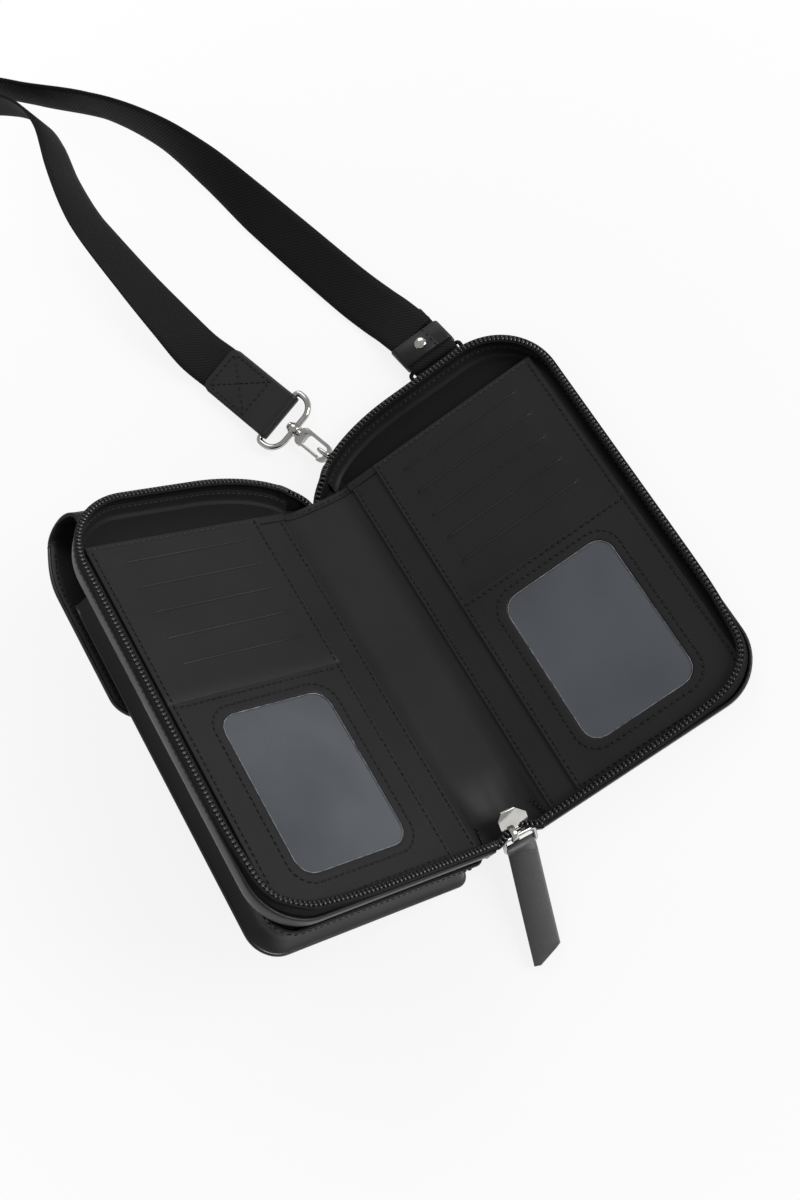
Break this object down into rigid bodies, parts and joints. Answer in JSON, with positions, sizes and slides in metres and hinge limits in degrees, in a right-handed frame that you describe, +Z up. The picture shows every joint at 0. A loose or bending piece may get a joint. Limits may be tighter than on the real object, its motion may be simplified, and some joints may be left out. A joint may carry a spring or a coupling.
{
  "type": "phone pouch",
  "caption": "Zip-round crossbody phone pouch lying open like a book, with card slots, clear ID windows, a rear phone pocket with a flap and a webbing strap on a snap hook.",
  "frame": {"origin": "on the resting outer face of the right half's back panel, halfway up the leaf, half a spine's width outside of the right spine seam", "axes": "+Z up from the table, +Y along the spine towards the strap end, +X outward over the resting right half; the picture's camera looks from -Y and slightly from +X, from above"},
  "size_m": [0.3308, 0.6799, 0.1122],
  "materials": {
    "shell_leather": "fine grained matte, charcoal black",
    "inner_leather": "smooth matte, charcoal black",
    "lining_cloth": "plain woven lining",
    "zip_tape": "twill tape",
    "zip_coil": "glossy black nylon coil",
    "clear_film": "clear vinyl film",
    "webbing": "cross-ribbed webbing",
    "nickel": "polished nickel plate",
    "magnet": "plain disc"
  },
  "bodies": {
    "right_half": {"right_back_panel": "shell_leather", "right_gusset": "shell_leather", "right_lining": "lining_cloth", "right_zip_tape": "zip_tape", "right_zip_coil": "zip_coil", "right_leaf": "inner_leather", "right_slip_panel": "inner_leather", "right_card_slots": "inner_leather", "right_window_panel": "inner_leather", "right_window_film": "clear_film", "hook_ring_tab": "shell_leather", "strap_ring_tab": "shell_leather", "strap_webbing": "webbing", "strap_turned_end": "webbing", "strap_leather_end": "shell_leather", "hook_frame": "nickel", "keeper": "shell_leather", "keeper_rivet": "nickel"},
    "spine": {"spine_panel": "shell_leather", "spine_leaf": "inner_leather", "zip_end_top": "zip_tape", "zip_end_bottom": "zip_tape"},
    "left_half": {"left_back_panel": "shell_leather", "left_gusset": "shell_leather", "left_lining": "lining_cloth", "left_zip_tape": "zip_tape", "left_zip_coil": "zip_coil", "left_leaf": "inner_leather", "left_slip_panel": "inner_leather", "left_card_slots": "inner_leather", "left_window_panel": "inner_leather", "left_window_film": "clear_film", "pocket_gusset": "shell_leather", "pocket_front": "shell_leather", "pocket_magnet": "magnet", "flap_root": "shell_leather"},
    "flap_bend": {"flap_turn": "shell_leather"},
    "flap": {"flap_front": "shell_leather", "flap_magnet": "magnet"},
    "slider": {"zip_slider": "nickel"},
    "pull_ring": {"puller_ring": "nickel"},
    "puller": {"puller": "shell_leather"},
    "hook_ring": {"hook_ring": "nickel"},
    "strap_ring": {"strap_ring": "nickel"},
    "snap_hook": {"snap_hook": "nickel"},
    "hook_gate": {"hook_gate": "nickel"}
  },
  "joints": [
    {"name": "right_fold", "type": "hinge", "parent": "right_half", "child": "spine", "pos_m": [-0.014, 0, 0], "axis": [0, 1, 0], "range_deg": [-25.4, 64.6]},
    {"name": "left_fold", "type": "hinge", "parent": "spine", "child": "left_half", "pos_m": [-0.03929, 0, 0.01201], "axis": [0, 1, 0], "range_deg": [-25.4, 64.6]},
    {"name": "flap_turning", "type": "hinge", "parent": "left_half", "child": "flap_bend", "pos_m": [-0.07728, 0.1143, 0.05716], "axis": [0.6321, 0, -0.7749], "range_deg": [0, 75]},
    {"name": "flap_lift", "type": "hinge", "parent": "flap_bend", "child": "flap", "pos_m": [-0.09232, 0.1143, 0.0449], "axis": [0.6321, 0, -0.7749], "range_deg": [0, 90]},
    {"name": "zip_slide", "type": "slide", "parent": "spine", "child": "slider", "axis": [0.4289, 0, 0.9033], "range_m": [0, 0.0024]},
    {"name": "ring_swing", "type": "hinge", "parent": "slider", "child": "pull_ring", "pos_m": [-0.02179, -0.09281, 0.01622], "axis": [-0.9033, 0, 0.4289], "range_deg": [0, 25]},
    {"name": "pull_swing", "type": "hinge", "parent": "pull_ring", "child": "puller", "pos_m": [-0.02408, -0.09654, 0.01141], "axis": [-0.9033, 0, 0.4289], "range_deg": [0, 35]},
    {"name": "hook_ring_swing", "type": "hinge", "parent": "right_half", "child": "hook_ring", "pos_m": [-0.006, 0.10833, 0.0062], "axis": [0, 0, 1], "range_deg": [-6, 6]},
    {"name": "strap_ring_swing", "type": "hinge", "parent": "right_half", "child": "strap_ring", "pos_m": [0.06, 0.1149, 0.0047], "axis": [1, 0, 0], "range_deg": [-2, 2]},
    {"name": "hook_swivel", "type": "hinge", "parent": "right_half", "child": "snap_hook", "pos_m": [-0.01444, 0.13371, 0.0042], "axis": [-0.284, 0.9588, 0], "range_deg": [-15, 15]},
    {"name": "gate_swing", "type": "hinge", "parent": "snap_hook", "child": "hook_gate", "pos_m": [-0.01551, 0.12568, 0.0042], "axis": [0, 0, 1], "range_deg": [0, 15], "stiffness_Nm_per_rad": 0.01, "springref_deg": -5.73}
  ],
  "couplings": [
    {"joint": "flap_turning", "follows": "flap_lift", "ratio": 0.833}
  ]
}
